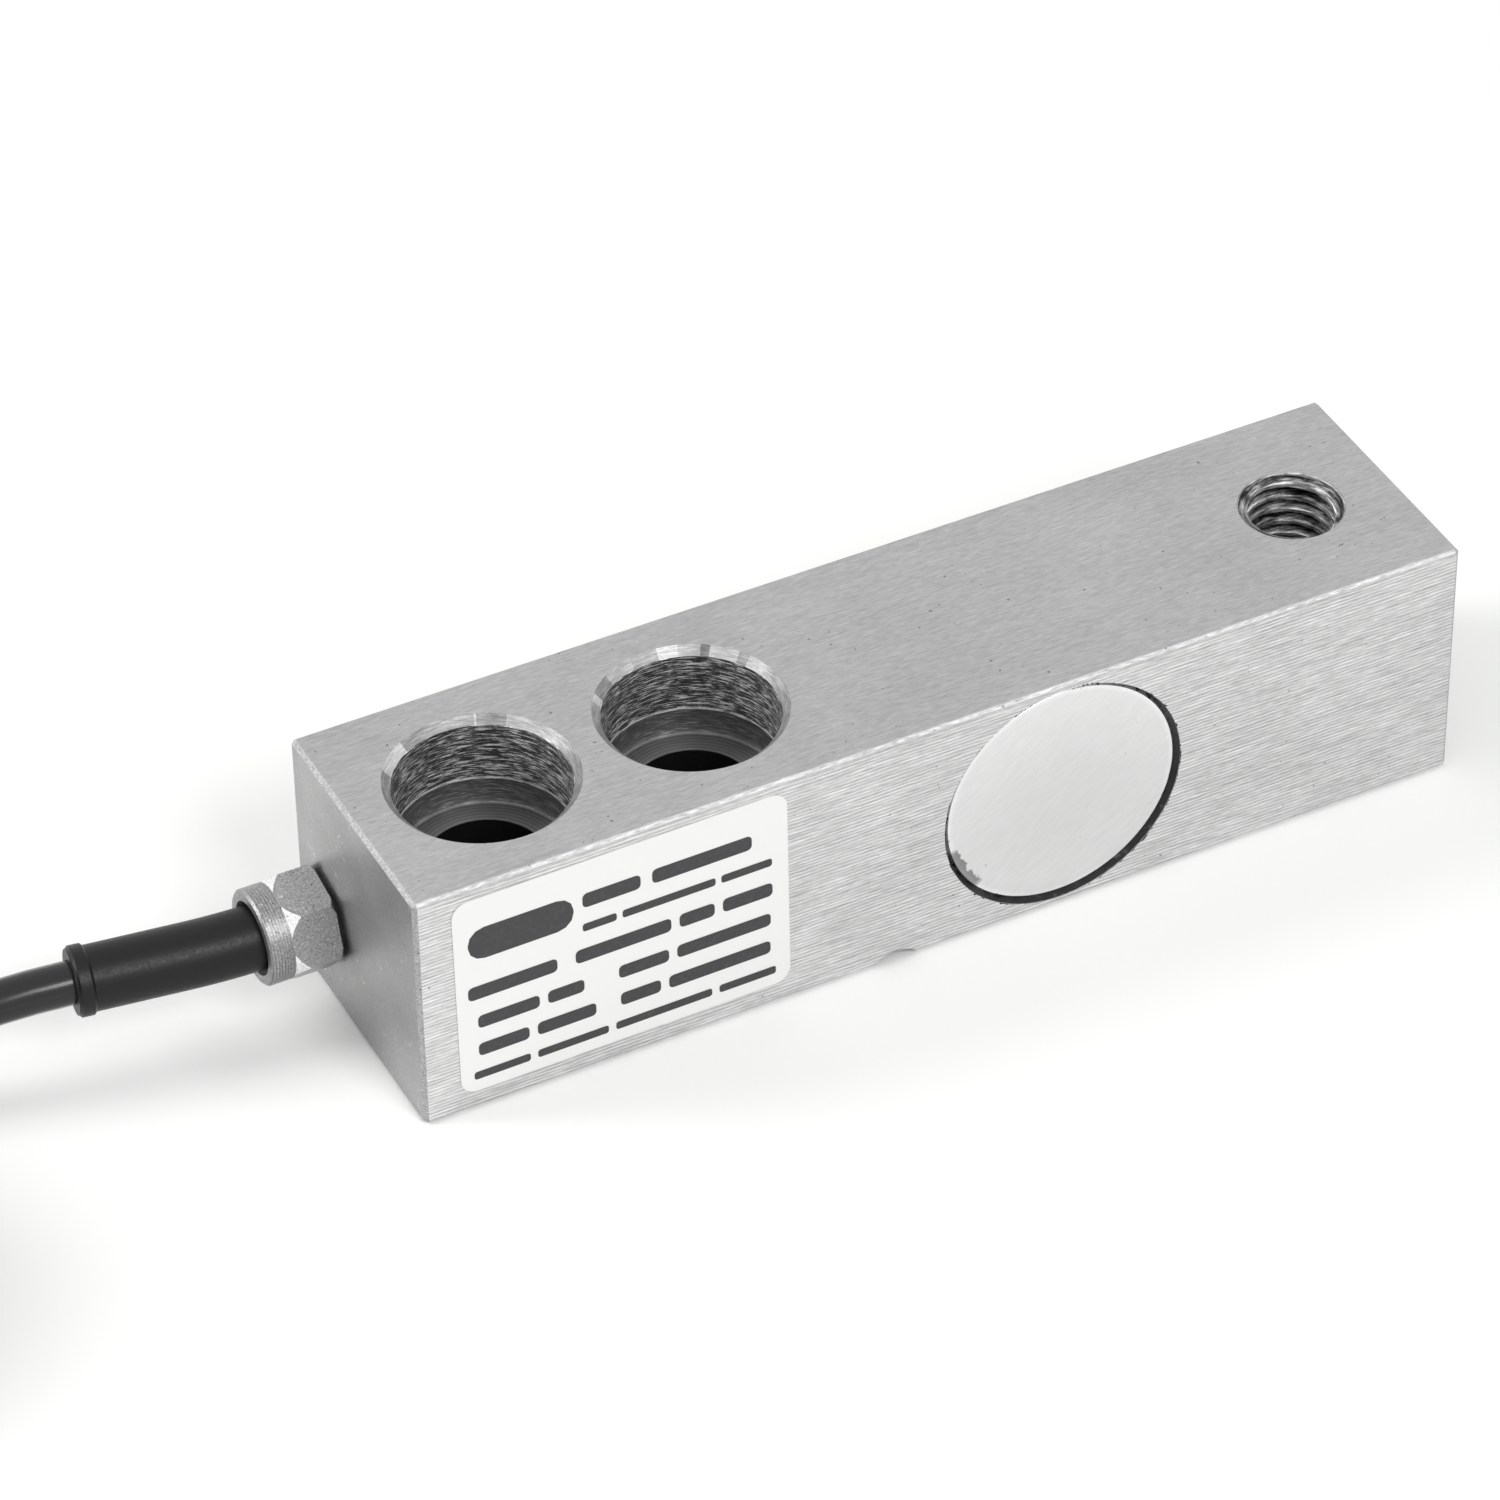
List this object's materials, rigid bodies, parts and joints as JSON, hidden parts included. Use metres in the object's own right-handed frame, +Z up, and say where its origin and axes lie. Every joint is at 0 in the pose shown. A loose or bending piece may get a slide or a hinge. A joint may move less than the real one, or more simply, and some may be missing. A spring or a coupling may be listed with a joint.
{
  "type": "shear beam load cell",
  "caption": "Brushed steel bar with counterbored bolt holes, a threaded load hole, round pocket covers and a gland with a long black cable folded into a hank.",
  "frame": {"origin": "midway between the axes of the two bolt holes, on the underside that is bolted down", "axes": "+X along the beam from the cable end to the loaded end, -Y out of the labelled side, +Z up, along the load hole"},
  "size_m": [0.3301, 0.046, 0.0318],
  "materials": {
    "beam_steel": "nickel-plated, brushed along the beam",
    "cover_steel": "satin",
    "black_sealant": "satin",
    "label_film": "matte print film",
    "plated_brass": "nickel-plated, turned",
    "seal_rubber": "matte",
    "boot_rubber": "matte",
    "cable_jacket": "semi-gloss",
    "tinned_copper": "tinned",
    "gauge_film": "polyimide film",
    "gauge_foil": "etched foil",
    "board_laminate": "satin",
    "resistor_black": "matte",
    "enamelled_wire": "enamelled copper",
    "red_insulation": "satin",
    "black_insulation": "satin",
    "green_insulation": "satin",
    "white_insulation": "satin"
  },
  "bodies": {
    "root": {"beam_body": "beam_steel", "front_cover": "cover_steel", "rear_cover": "cover_steel", "front_cover_sealant": "black_sealant", "rear_cover_sealant": "black_sealant", "type_label": "label_film", "gland_body": "plated_brass", "gland_clamp_ring": "plated_brass", "gland_seal": "seal_rubber", "cable_boot": "boot_rubber", "cable_jacket_end": "cable_jacket", "cable_run": "cable_jacket", "cable_hank": "cable_jacket", "cable_tail": "cable_jacket", "drain_lead": "tinned_copper", "tinned_tips": "tinned_copper", "front_gauge_film": "gauge_film", "rear_gauge_film": "gauge_film", "front_gauge_foil": "gauge_foil", "rear_gauge_foil": "gauge_foil", "compensation_board": "board_laminate", "trim_resistors": "resistor_black", "solder_joints": "tinned_copper", "front_link_wires": "enamelled_wire", "rear_link_wires": "enamelled_wire", "red_lead": "red_insulation", "red_inner_wire": "red_insulation", "black_lead": "black_insulation", "black_inner_wire": "black_insulation", "green_lead": "green_insulation", "green_inner_wire": "green_insulation", "white_lead": "white_insulation", "white_inner_wire": "white_insulation"}
  },
  "joints": []
}
